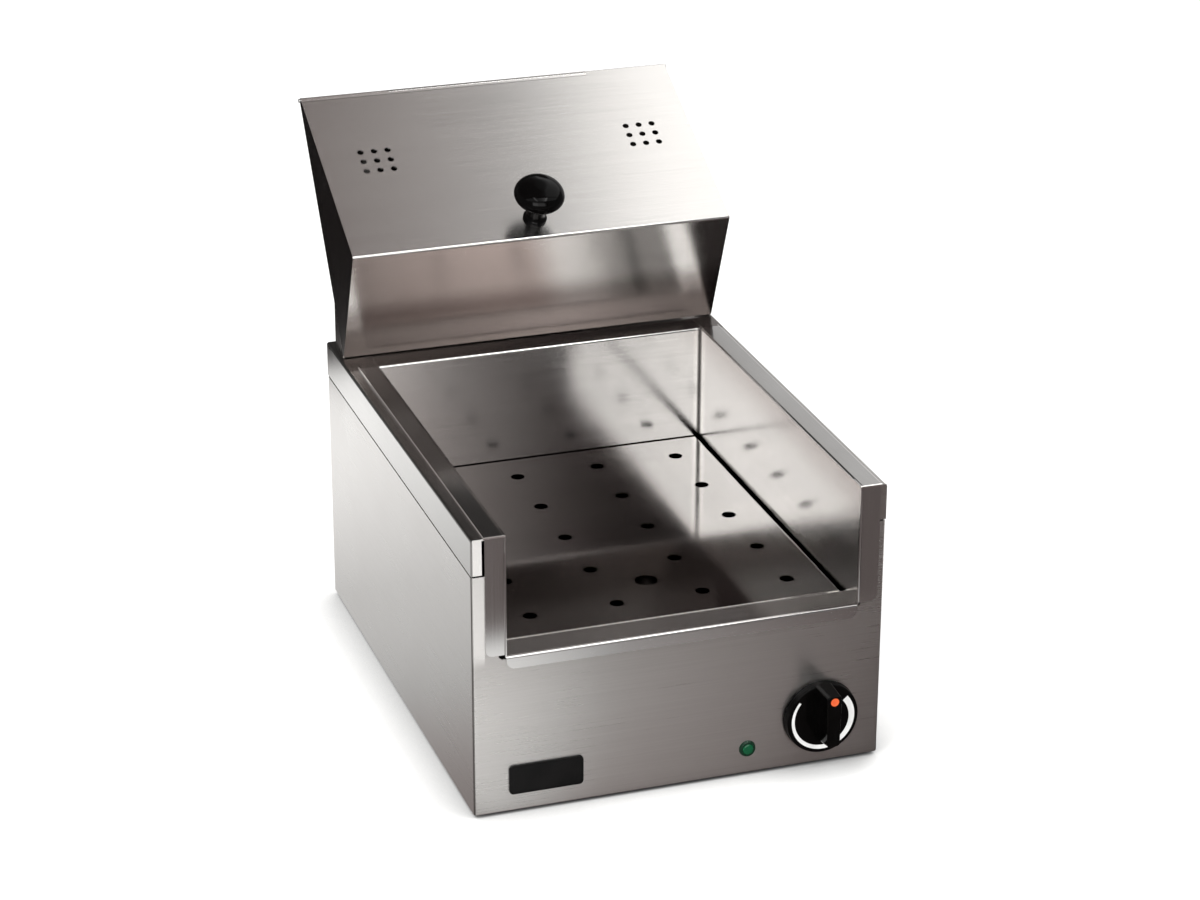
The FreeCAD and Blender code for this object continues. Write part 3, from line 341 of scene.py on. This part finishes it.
# Colours that masks mix into the steel: all are painted shade except the fourth, a painted highlight.
WARM_SHADE = (0.20, 0.175, 0.165)
GREY_SHADE = (0.455, 0.450, 0.440)
DEEP_SHADE = (0.098, 0.077, 0.071)
PAINTED_HIGHLIGHT = (0.95, 0.93, 0.91)
BLACK_SHADE = (0.035, 0.030, 0.028)
STEEL = {
    "body_shell": brushed(
        "steel_shell",
        X,
        1,
        cases=[(facing(0, 0.7), Y)],
        rough=0.29,
        spread=0.75,
        # Painted shade along the left front fold and a painted highlight on the narrow strip beside the pan's left
        # wing.
        painted_light=[(left_fold, BLACK_SHADE, 0.75), (left_strip, PAINTED_HIGHLIGHT, 0.4)],
        lean=[(left_strip, (-0.14, 0.0, -0.10))],
    ),
    "top_frame": brushed(
        "steel_top",
        X,
        2,
        cases=[(facing(0, 0.7), Y), (both(facing(2, 0.7), beyond(0, 0.126, 0)), Y)],
        rough=0.22,
        spread=0.6,
        # Painted shade on the rear ledge, the top of the left rail, the left rail's outer face and the left front fold;
        # a painted highlight on the left rail's front end.
        painted_light=[(both(facing(2, 0.7), beyond(1, 0.096)), WARM_SHADE, 0.85), (left_rail, WARM_SHADE, 0.88), (left_end, PAINTED_HIGHLIGHT, 0.5), (left_skirt, GREY_SHADE, 0.85), (left_fold, BLACK_SHADE, 0.75)],
        lean=[(left_end, (-0.22, 0.0, -0.17))],
    ),
    "pan": brushed(
        "steel_pan",
        X,
        3,
        tint=(0.618, 0.612, 0.605),
        dark=(0.568, 0.562, 0.555),
        rough=0.14,
        spread=0.68,
        line=0.5,
        cases=[
            (facing(0, 0.7), Y),
            (both(facing(2, 0.7), beyond(0, 0.119, 0)), Y),
            (both(beyond(1, -0.2045, -1), beyond(2, 0.116)), Z),
        ],
        painted_light=[
            # Painted shade on the rear flange, the top of the left flange and the upward faces along the front.
            (both(facing(2, 0.7), beyond(1, 0.0975), beyond(2, 0.19)), WARM_SHADE, 0.85),
            (left_rail, WARM_SHADE, 0.80),
            (both(facing(2, 0.7), beyond(1, -0.1835, -1), beyond(2, 0.13, -1)), WARM_SHADE, 0.60),
            # Painted highlights on the flange and wing edges and around the rear right corner; painted shade in that
            # corner and on the pan floor under the drain plate.
            (flange_edge, PAINTED_HIGHLIGHT, 0.85),
            (glow_line(0.1235, 0.0975, 0.0065), PAINTED_HIGHLIGHT, 0.35),
            (glow_line(0.1235, 0.0975, 0.0024), BLACK_SHADE, 0.85),
            (both(beyond(2, 0.1170, -1), beyond(1, -0.18)), BLACK_SHADE, 1.0),
        ],
        lean=[(left_line, (0.0, -0.5, 0.0))],
    ),
    "drain_plate": brushed(
        "steel_plate",
        Y,
        4,
        rough=0.085,
        spread=0.25,
        line=0.5,
        # The plate's steel is far darker than the other sheets: painted shade.
        tint=(0.240, 0.234, 0.230),
        dark=(0.215, 0.209, 0.205),
        # Painted shade over the plate's left part and a painted highlight along its front edge.
        painted_light=[(left_part, DEEP_SHADE, 0.90), (plate_edge, PAINTED_HIGHLIGHT, 0.8)],
    ),
    "lid_front_cover": brushed(
        "steel_cover",
        X,
        5,
        rough=0.22,
        spread=0.70,
        cases=[(facing(0, 0.7), Z)],
        painted_light=[
            # A painted highlight on the band along the top edge and a painted dark line under it; painted shade on the
            # left side and towards the lower edge of the steep front.
            (both(facing(2, 0.3), beyond(0, 0.0785, -1), top_band), PAINTED_HIGHLIGHT, 0.60),
            (both(facing(2, 0.3), beyond(0, 0.0785, -1), top_line), BLACK_SHADE, 0.35),
            (both(facing(0, 0.7), beyond(0, 0.0, -1)), BLACK_SHADE, 0.8),
            (lower_front, WARM_SHADE, 0.90),
        ],
    ),
    "lid_rear_leaf": brushed(
        "steel_leaf",
        X,
        6,
        rough=0.26,
        cases=[(facing(0, 0.7), Z)],
        painted_light=[
            # Painted shade at the top of the leaf and on the face that the folded lid hides.
            (both(facing(2, 0.3), beyond(2, 0.3610)), GREY_SHADE, 0.9),
            (beyond(2, 0.3624), WARM_SHADE, 0.6),
            (inner_face, BLACK_SHADE, 0.9),
        ],
    ),
    "lid_rests": brushed("steel_rests", Y, 7, rough=0.22),
    "rear_cover": brushed("steel_rear", X, 8, rough=0.30),
    "rear_hinge_plate": brushed("steel_hinge", X, 9, rough=0.22),
}

# ---------------------------------------------------------------- other finishes


def zinc():
    """Galvanised sheet: flat crystals a few millimetres across."""
    m, t, s = material("zinc_sheet")
    at = t.node("ShaderNodeTexCoord").outputs["Object"]
    cell = t.voronoi(at, 170.0, out="Color")
    tone = t.split(cell)[0]
    cloud = t.noise(at, 26.0, 4.0, 0.6)
    t.link(
        t.mix(t.math("MULTIPLY_ADD", tone, 0.55, t.math("MULTIPLY", cloud, 0.45)), (0.34, 0.35, 0.36), (0.58, 0.59, 0.60)),
        s.inputs["Base Color"],
    )
    s.inputs["Metallic"].default_value = 1.0
    t.link(t.math("MULTIPLY_ADD", tone, 0.16, t.math("MULTIPLY_ADD", cloud, 0.2, 0.28)), s.inputs["Roughness"])
    t.link(t.bump(t.noise(at, 420.0, 3.0, 0.6), 0.12, 0.0003), s.inputs["Normal"])
    return m


def plated(name, light, dark, rough):
    """Bright plating on small turned and pressed pieces."""
    m, t, s = material(name)
    at = t.node("ShaderNodeTexCoord").outputs["Object"]
    turned = t.noise(at, 1900.0, 2.0, 0.6)
    cloud = t.noise(at, 240.0, 3.0, 0.6)
    t.link(t.mix(t.math("MULTIPLY_ADD", turned, 0.4, t.math("MULTIPLY", cloud, 0.6)), dark, light), s.inputs["Base Color"])
    s.inputs["Metallic"].default_value = 1.0
    t.link(t.math("MULTIPLY_ADD", cloud, 0.18, rough - 0.06), s.inputs["Roughness"])
    t.link(t.bump(turned, 0.08, 0.0002), s.inputs["Normal"])
    return m


def sheath():
    """Annealed element sheath: brown and blue heat tints over dark metal."""
    m, t, s = material("element_sheath")
    at = t.node("ShaderNodeTexCoord").outputs["Object"]
    tint = t.noise(at, 22.0, 3.0, 0.6)
    speck = t.noise(at, 700.0, 3.0, 0.65)
    warm = t.mix(t.remap(tint, 0.35, 0.62), (0.16, 0.115, 0.085), (0.10, 0.11, 0.15))
    t.link(t.mix(t.remap(speck, 0.3, 0.75, 0.0, 0.5), warm, (0.30, 0.27, 0.24)), s.inputs["Base Color"])
    s.inputs["Metallic"].default_value = 0.9
    t.link(t.math("MULTIPLY_ADD", speck, 0.25, 0.34), s.inputs["Roughness"])
    t.link(t.bump(speck, 0.15, 0.0003), s.inputs["Normal"])
    return m


def moulded(name, light, dark, rough, coat=0.0, grain=900.0, depth=0.06, specks=0.0, haze=0.06, shine=0.5):
    """Moulded plastic: faint flow clouds, fine skin texture and, if asked for, dust specks."""
    m, t, s = material(name)
    at = t.node("ShaderNodeTexCoord").outputs["Object"]
    cloud = t.noise(at, 60.0, 3.0, 0.55)
    skin = t.noise(at, grain, 3.0, 0.6)
    colour = t.mix(t.remap(cloud, 0.3, 0.7), dark, light)
    if specks:
        dust = t.voronoi(at, 380.0)
        colour = t.mix(t.remap(dust, 0.0, 0.10, specks, 0.0), colour, (0.35, 0.34, 0.33))
    t.link(colour, s.inputs["Base Color"])
    r = t.math("MULTIPLY_ADD", cloud, haze, rough - haze / 2)
    t.link(t.math("MULTIPLY_ADD", t.math("SUBTRACT", skin, 0.5), 0.10, r, clamp=True), s.inputs["Roughness"])
    s.inputs["Specular IOR Level"].default_value = shine
    s.inputs["Coat Weight"].default_value = coat
    s.inputs["Coat Roughness"].default_value = 0.05
    t.link(t.bump(skin, depth, 0.0002), s.inputs["Normal"])
    return m


def printed(name, light, dark):
    """A thin layer of print, slightly uneven and rubbed."""
    m, t, s = material(name)
    at = t.node("ShaderNodeTexCoord").outputs["Object"]
    wear = t.noise(at, 900.0, 4.0, 0.65)
    cloud = t.noise(at, 120.0, 2.0, 0.5)
    c = t.mix(t.remap(cloud, 0.3, 0.7), dark, light)
    t.link(t.mix(t.remap(wear, 0.60, 0.78, 0.0, 0.35), c, tuple(0.55 * v for v in light)), s.inputs["Base Color"])
    t.link(t.math("MULTIPLY_ADD", wear, 0.2, 0.32), s.inputs["Roughness"])
    t.link(t.bump(wear, 0.08, 0.0001), s.inputs["Normal"])
    return m


def ceramic():
    m, t, s = material("ceramic_bead")
    at = t.node("ShaderNodeTexCoord").outputs["Object"]
    cloud = t.noise(at, 150.0, 3.0, 0.6)
    pits = t.voronoi(at, 900.0)
    c = t.mix(cloud, (0.74, 0.71, 0.64), (0.86, 0.84, 0.79))
    t.link(t.mix(t.remap(pits, 0.0, 0.18, 0.5, 0.0), c, (0.42, 0.36, 0.28)), s.inputs["Base Color"])
    t.link(t.math("MULTIPLY_ADD", cloud, 0.2, 0.45), s.inputs["Roughness"])
    t.link(t.bump(pits, 0.15, 0.0003), s.inputs["Normal"])
    return m


def board():
    """Pressed mineral fibre: short fibres lying every way, with darker flecks."""
    m, t, s = material("fibre_board")
    at = t.node("ShaderNodeTexCoord").outputs["Object"]
    fibre = t.noise(at, 260.0, 5.0, 0.7, 1.6)
    lump = t.noise(at, 45.0, 3.0, 0.6)
    c = t.mix(t.math("MULTIPLY_ADD", fibre, 0.6, t.math("MULTIPLY", lump, 0.4)), (0.46, 0.43, 0.36), (0.80, 0.77, 0.69))
    fleck = t.voronoi(at, 240.0)
    t.link(t.mix(t.remap(fleck, 0.0, 0.12, 0.6, 0.0), c, (0.20, 0.18, 0.15)), s.inputs["Base Color"])
    t.link(t.math("MULTIPLY_ADD", fibre, 0.15, 0.80), s.inputs["Roughness"])
    s.inputs["Sheen Weight"].default_value = 0.25
    t.link(t.bump(fibre, 0.6, 0.0009), s.inputs["Normal"])
    return m


def rubber():
    m, t, s = material("foot_rubber")
    at = t.node("ShaderNodeTexCoord").outputs["Object"]
    cloud = t.noise(at, 130.0, 3.0, 0.6)
    grit = t.noise(at, 1100.0, 3.0, 0.7)
    t.link(t.mix(t.math("MULTIPLY_ADD", cloud, 0.6, t.math("MULTIPLY", grit, 0.4)), (0.012, 0.012, 0.013), (0.05, 0.049, 0.047)), s.inputs["Base Color"])
    t.link(t.math("MULTIPLY_ADD", grit, 0.25, 0.58), s.inputs["Roughness"])
    t.link(t.bump(grit, 0.25, 0.0003), s.inputs["Normal"])
    return m


def wire(name, light, dark, stripe=None):
    """Insulation of an inner wire, slightly waxy. The earth wire has a stripe along it."""
    m, t, s = material(name)
    at = t.node("ShaderNodeTexCoord").outputs["Object"]
    cloud = t.noise(at, 90.0, 3.0, 0.6)
    fine = t.noise(at, 1400.0, 2.0, 0.6)
    c = t.mix(cloud, dark, light)
    if stripe:
        x, y, z = t.split(at)
        band = t.math("SINE", t.math("MULTIPLY", t.math("ADD", t.math("MULTIPLY", z, 1.0), t.math("MULTIPLY", y, 0.6)), 1600.0))
        c = t.mix(t.remap(band, -0.1, 0.1), c, stripe)
    t.link(c, s.inputs["Base Color"])
    t.link(t.math("MULTIPLY_ADD", fine, 0.15, 0.36), s.inputs["Roughness"])
    t.link(t.bump(fine, 0.06, 0.0002), s.inputs["Normal"])
    return m


def lens(name, light, dark, rough, coat):
    """Coloured lamp lens with the ribbed pattern of its inner face showing through."""
    m, t, s = material(name)
    at = t.node("ShaderNodeTexCoord").outputs["Object"]
    ribs = t.voronoi(at, 900.0, randomness=0.25)
    cloud = t.noise(at, 160.0, 2.0, 0.5)
    t.link(t.mix(t.math("MULTIPLY_ADD", t.remap(ribs, 0.1, 0.7), 0.6, t.math("MULTIPLY", cloud, 0.4)), light, dark), s.inputs["Base Color"])
    t.link(t.math("MULTIPLY_ADD", cloud, 0.06, rough), s.inputs["Roughness"])
    s.inputs["Specular IOR Level"].default_value = 0.2
    s.inputs["Coat Weight"].default_value = coat
    s.inputs["Coat Roughness"].default_value = 0.03
    t.link(t.bump(ribs, 0.05, 0.0002), s.inputs["Normal"])
    return m


GLOSS = moulded("black_gloss_moulding", (0.0022, 0.0020, 0.0020), (0.0012, 0.0011, 0.0011), 0.08, depth=0.02, specks=0.02, shine=0.07)
SATIN = moulded("black_satin_moulding", (0.022, 0.021, 0.021), (0.012, 0.012, 0.012), 0.42, grain=1300.0, depth=0.14)
BADGE = moulded("badge_moulding", (0.007, 0.0065, 0.0065), (0.004, 0.004, 0.004), 0.24, grain=1500.0, depth=0.04, specks=0.04, shine=0.08)
WHITE = moulded("white_moulding", (0.80, 0.79, 0.75), (0.70, 0.69, 0.64), 0.40, depth=0.08)
ZINC = zinc()
FIXING = plated("bright_fixings", (0.70, 0.70, 0.69), (0.46, 0.46, 0.46), 0.24)
BRASS = plated("brass_fittings", (0.80, 0.60, 0.28), (0.52, 0.36, 0.15), 0.26)

FINISH = {
    **STEEL,
    "badge_plate": BADGE,
    "control_knob": GLOSS,
    "lid_knob": GLOSS,
    "lid_knob_neck": GLOSS,
    "thermostat_body": SATIN,
    "safety_cutout": SATIN,
    "indicator_body": SATIN,
    "cable_gland": SATIN,
    "gland_nut": SATIN,
    "terminal_block": WHITE,
    "feet": rubber(),
    "heating_element": sheath(),
    "element_insulators": ceramic(),
    "insulation_board": board(),
    "indicator_lens": lens("lamp_lens", (0.004, 0.105, 0.040), (0.0015, 0.045, 0.018), 0.10, 0.30),
    "indicator_bezel": lens("lamp_bezel", (0.003, 0.035, 0.016), (0.0015, 0.015, 0.007), 0.16, 0.30),
    "dial_arc": printed("dial_print", (0.86, 0.86, 0.85), (0.74, 0.74, 0.73)),
    "pointer_dot": printed("pointer_inlay", (0.80, 0.13, 0.02), (0.66, 0.08, 0.01)),
    "wire_live": wire("wire_brown", (0.20, 0.09, 0.04), (0.12, 0.05, 0.02)),
    "wire_neutral": wire("wire_blue", (0.04, 0.12, 0.42), (0.02, 0.07, 0.28)),
    "wire_earth": wire("wire_green_yellow", (0.10, 0.36, 0.06), (0.05, 0.24, 0.03), (0.75, 0.62, 0.05)),
}
FINISH["wire_heater"] = FINISH["wire_live"]
for n in ("base_plate", "heater_tray", "tray_spacers", "element_supports", "bulb_clips", "indicator_clip"):
    FINISH[n] = ZINC
for n in ("thermostat_bulb", "terminal_screws", "earth_ring"):
    FINISH[n] = BRASS
for name, o in nodes.items():
    finish = FINISH.get(name, FIXING)
    if not o.material_slots:
        o.data.materials.append(finish)
    for s in o.material_slots:
        s.material = finish

# ---------------------------------------------------------------- studio


def card(name, corners, strength, camera=False, diffuse=False):
    """A flat light card. strength is given the tree and the place on the card, and returns a number."""
    me = bpy.data.meshes.new(name)
    bm = bmesh.new()
    bm.faces.new([bm.verts.new(c) for c in corners])
    bm.to_mesh(me)
    bm.free()
    o = bpy.data.objects.new(name, me)
    scene.collection.objects.link(o)
    m = bpy.data.materials.new(name)
    m.use_nodes = True
    m.cycles.emission_sampling = "NONE"
    t = Tree(m.node_tree)
    out = t.node("ShaderNodeOutputMaterial")
    e = t.node("ShaderNodeEmission")
    t.link(e.outputs[0], out.inputs[0])
    place = t.split(t.node("ShaderNodeTexCoord").outputs["Object"])
    v = strength(t, *place) if callable(strength) else strength
    if callable(strength):
        t.link(t.mix(t.remap(v, 0.0, 0.6), (1.0, 0.785, 0.755), (1.0, 0.995, 0.985)), e.inputs["Color"])
    else:
        e.inputs["Color"].default_value = (1.0, 0.99, 0.975, 1.0)
    t.put(e.inputs["Strength"], v)
    me.materials.append(m)
    o.visible_camera = camera
    o.visible_diffuse = diffuse
    o.visible_glossy = True
    o.visible_transmission = False
    o.visible_shadow = False
    o.visible_volume_scatter = False
    return o


def quad_xy(x0, y0, x1, y1, z):
    return [(x0, y0, z), (x1, y0, z), (x1, y1, z), (x0, y1, z)]


# What the steel sees below it: bright to the left of the body, falling off along its front, with dark patches
# to the right of it and behind it on the left.
def floor_glow(t, x, y, z):
    def within(v, a0, a1, b0, b1):
        return t.math("MULTIPLY", t.remap(v, a0, a1, 0.0, 1.0, smooth=True), t.remap(v, b0, b1, 1.0, 0.0, smooth=True))

    left = t.remap(y, -0.22, 0.16, 0.30, 0.80, smooth=True)
    left = t.math("MULTIPLY", left, t.remap(y, 0.16, 0.50, 1.0, 1.95))
    left = t.math("MULTIPLY", left, t.remap(x, -0.70, -0.42, 0.45, 1.0, smooth=True))
    along = t.math("MULTIPLY_ADD", t.math("ADD", y, 0.38), 0.4, x)
    front = t.math("ADD", t.remap(along, -0.10, 0.03, 0.56, 0.0, smooth=True), t.remap(along, -0.02, 0.22, 0.48, 0.13))
    front = t.math("MULTIPLY", front, t.remap(y, -0.490, -0.440, 0.18, 1.22, smooth=True))
    front = t.math("MULTIPLY", front, t.remap(y, -0.37, -0.27, 1.0, 0.72, smooth=True))
    front = t.math("MAXIMUM", front, t.remap(x, 0.14, 0.24, 0.0, 0.15, smooth=True))
    front = t.math("MULTIPLY", front, t.remap(y, -0.24, -0.18, 1.0, 0.12, smooth=True))
    front = t.math("ADD", front, t.remap(y, -1.25, -0.92, 0.40, 0.0, smooth=True))
    is_left = t.math("MULTIPLY", t.remap(x, -0.145, -0.125, 1.0, 0.0), t.remap(y, -0.26, -0.20, 0.0, 1.0))
    front = t.math("ADD", front, t.math("MULTIPLY", within(x, -0.50, -0.38, -0.16, -0.06), within(y, -0.86, -0.78, -0.60, -0.54)))
    v = t.math("ADD", t.math("MULTIPLY", left, is_left), t.math("MULTIPLY", front, t.math("SUBTRACT", 1.0, is_left)))
    side = t.math("MULTIPLY", t.remap(x, 0.38, 0.52, 0.0, 0.5, smooth=True), t.remap(y, -0.60, -0.40, 0.0, 1.0, smooth=True))
    v = t.math("MAXIMUM", v, side)
    right = t.math("MULTIPLY", within(x, 0.30, 0.42, 1.1, 1.6), within(y, -0.20, -0.10, 0.45, 0.80))
    v = t.math("MAXIMUM", v, t.math("MULTIPLY", right, t.remap(y, -0.15, 0.40, 0.30, 0.55)))
    right = t.math("MULTIPLY", within(x, 0.150, 0.180, 0.40, 0.50), within(y, 0.14, 0.24, 0.60, 0.90))
    v = t.math("MAXIMUM", v, t.math("MULTIPLY", right, 0.42))
    back = t.remap(y, 0.19, 0.27, 0.0, 0.42, smooth=True)
    v = t.math("MAXIMUM", v, t.math("MULTIPLY", back, t.remap(x, -0.12, 0.00, 0.0, 1.0)))
    shade = t.math("MULTIPLY", within(x, -1.10, -0.95, -0.12, -0.02), within(y, 0.58, 0.63, 1.7, 2.0))
    return t.math("MULTIPLY", v, t.remap(shade, 0.0, 1.0, 1.0, 0.01))


card("card_floor", quad_xy(-4, -4, 4, 4, -0.004), floor_glow)


# Overhead light, brighter to the right and towards the front, with one bright patch at the front left.
def top_glow(t, x, y, z):
    low = t.math("ADD", t.remap(x, -0.30, 0.15, 0.14, 0.28), t.remap(x, 0.15, 0.38, 0.0, 0.26))
    v = t.math("ADD", low, t.remap(x, 0.37, 0.60, 0.0, 1.35, smooth=True))
    v = t.math("MULTIPLY", v, t.remap(y, -0.46, -0.52, 1.0, 0.58, smooth=True))
    near = t.math("ADD", t.remap(x, 0.48, 0.60, 11.7, 0.0), t.remap(x, 0.59, 0.65, 6.8, 1.6))
    v = t.math("MULTIPLY", v, t.remap(y, -0.64, -0.67, 1.0, near, smooth=True))
    patch = t.math("MULTIPLY", t.remap(x, -0.42, -0.39, 0.0, 1.0), t.remap(x, -0.24, -0.30, 0.0, 1.0))
    patch = t.math("MULTIPLY", patch, t.remap(y, -0.50, -0.56, 0.0, 3.2))
    patch = t.math("MULTIPLY", patch, t.remap(x, -0.36, -0.33, 3.2, 1.2))
    return t.math("ADD", v, patch)


card("card_top", quad_xy(-2.2, -1.3, 2.4, 1.7, 1.6), top_glow)


def upright(name, p, q, z0, z1, strength):
    """An upright card between two places on the floor."""
    return card(name, [(*p, z0), (*q, z0), (*q, z1), (*p, z1)], strength)


# Large soft light behind and to the left of the camera, fading out to the right.
def front_glow(t, x, y, z):
    v = t.math("ADD", t.remap(x, 0.35, 0.60, 3.3, 0.0, smooth=True), t.remap(x, 0.52, 0.82, 1.15, 0.06, smooth=True))
    v = t.math("ADD", v, t.remap(x, -0.45, 0.10, 0.15, 0.0, smooth=True))
    v = t.math("ADD", v, t.remap(x, -0.69, -0.60, 2.6, 0.0, smooth=True))
    low = t.remap(z, 0.42, 0.68, 0.07, 1.0, smooth=True)
    return t.math("MULTIPLY", v, t.math("MULTIPLY", low, t.remap(z, 1.45, 1.75, 1.0, 0.25, smooth=True)))


upright("card_front", (-1.6, -2.1), (0.95, -2.1), 0.3, 2.1, front_glow)
# Light behind on the right, its left edge leaning to the right as it rises, and a dark flag beside it.
def back_glow(t, x, y, z):
    edge = t.math("MULTIPLY_ADD", t.math("SUBTRACT", z, 0.82), 0.62, 0.665)
    return t.remap(t.math("SUBTRACT", x, edge), 0.0, 0.03, 0.07, 0.78, smooth=True)


upright("card_back_right", (0.60, 1.63), (2.8, 0.9), 0.0, 1.6, back_glow)
upright("flag_back", (-1.0, 1.7), (0.66, 1.7), 0.0, 1.6, 0.07)

world = bpy.data.worlds.new("studio")
scene.world = world
world.use_nodes = True
w = Tree(world.node_tree)
out = w.node("ShaderNodeOutputWorld")
bg = w.node("ShaderNodeBackground")
bg.inputs["Color"].default_value = (1.0, 1.0, 1.0, 1.0)
path = w.node("ShaderNodeLightPath")
w.put(bg.inputs["Strength"], w.remap(path.outputs["Is Glossy Ray"], 0.0, 1.0, 1.0, 0.30))
w.link(bg.outputs[0], out.inputs[0])
world.cycles.sampling_method = "NONE"


def area(name, place, aim, size, power, glossy=False):
    light = bpy.data.lights.new(name, "AREA")
    light.shape = "RECTANGLE"
    light.size, light.size_y = size
    light.energy = power
    light.color = (1.0, 0.99, 0.975)
    o = bpy.data.objects.new(name, light)
    scene.collection.objects.link(o)
    o.location = place
    o.rotation_mode = "QUATERNION"
    o.rotation_quaternion = (Vector(aim) - Vector(place)).to_track_quat("-Z", "Y")
    o.visible_glossy = glossy
    return o


area("light_key", (-1.3, -0.9, 1.7), (0, 0, 0.1), (0.9, 0.9), 22.0)
area("light_fill", (1.3, -1.2, 1.5), (0, 0, 0.1), (0.9, 0.9), 9.0)

# Pale floor. It glows a little of its own, and darkens close to the object.
me = bpy.data.meshes.new("floor")
bm = bmesh.new()
bmesh.ops.create_grid(bm, x_segments=8, y_segments=8, size=7.0)
bm.to_mesh(me)
bm.free()
floor = bpy.data.objects.new("floor", me)
scene.collection.objects.link(floor)
m = bpy.data.materials.new("floor_paper")
m.use_nodes = True
t = Tree(m.node_tree)
out = t.node("ShaderNodeOutputMaterial")
soft = t.node("ShaderNodeBsdfDiffuse")
at = t.node("ShaderNodeTexCoord").outputs["Object"]
near = t.node("ShaderNodeAmbientOcclusion", samples=8)
near.inputs["Distance"].default_value = 0.045
open_sky = t.math(
    "ADD",
    t.remap(near.outputs["AO"], 0.05, 0.44, 0.0, 0.50, smooth=True),
    t.remap(near.outputs["AO"], 0.44, 0.86, 0.0, 0.50),
)
paper = t.mix(t.noise(at, 60.0, 3.0), (0.80, 0.80, 0.795), (0.83, 0.83, 0.825))
t.link(t.mix(open_sky, (0.12, 0.125, 0.13), paper), soft.inputs["Color"])
glow = t.node("ShaderNodeEmission")
glow.inputs["Color"].default_value = (1.0, 1.0, 0.995, 1.0)
t.link(t.math("MULTIPLY", open_sky, 0.30), glow.inputs["Strength"])
add = t.node("ShaderNodeAddShader")
t.link(soft.outputs[0], add.inputs[0])
t.link(glow.outputs[0], add.inputs[1])
t.link(add.outputs[0], out.inputs[0])
m.cycles.emission_sampling = "NONE"
me.materials.append(m)
floor.visible_glossy = False

# ---------------------------------------------------------------- camera

yaw, pitch, roll = math.radians(18.739), math.radians(23.154), math.radians(0.1654)
F = Vector((math.sin(yaw) * math.cos(pitch), math.cos(yaw) * math.cos(pitch), -math.sin(pitch)))
R = Vector((math.cos(yaw), -math.sin(yaw), 0.0))
U = R.cross(F)
R2 = math.cos(roll) * R + math.sin(roll) * U
U2 = -math.sin(roll) * R + math.cos(roll) * U
cam_data = bpy.data.cameras.new("camera")
cam_data.sensor_fit = "HORIZONTAL"
cam_data.sensor_width = 36.0
cam_data.lens = 99.976
cam_data.clip_start, cam_data.clip_end = 0.05, 60.0
cam = bpy.data.objects.new("camera", cam_data)
scene.collection.objects.link(cam)
cam.matrix_world = Matrix(
    (
        (R2.x, U2.x, -F.x, -0.67815),
        (R2.y, U2.y, -F.y, -2.03831),
        (R2.z, U2.z, -F.z, 1.07902),
        (0, 0, 0, 1),
    )
)
scene.camera = cam

scene.view_settings.view_transform = "Standard"
scene.view_settings.look = "None"
scene.cycles.max_bounces = 12
scene.cycles.glossy_bounces = 8
scene.cycles.diffuse_bounces = 3
scene.cycles.sample_clamp_indirect = 6.0

bpy.context.view_layer.update()
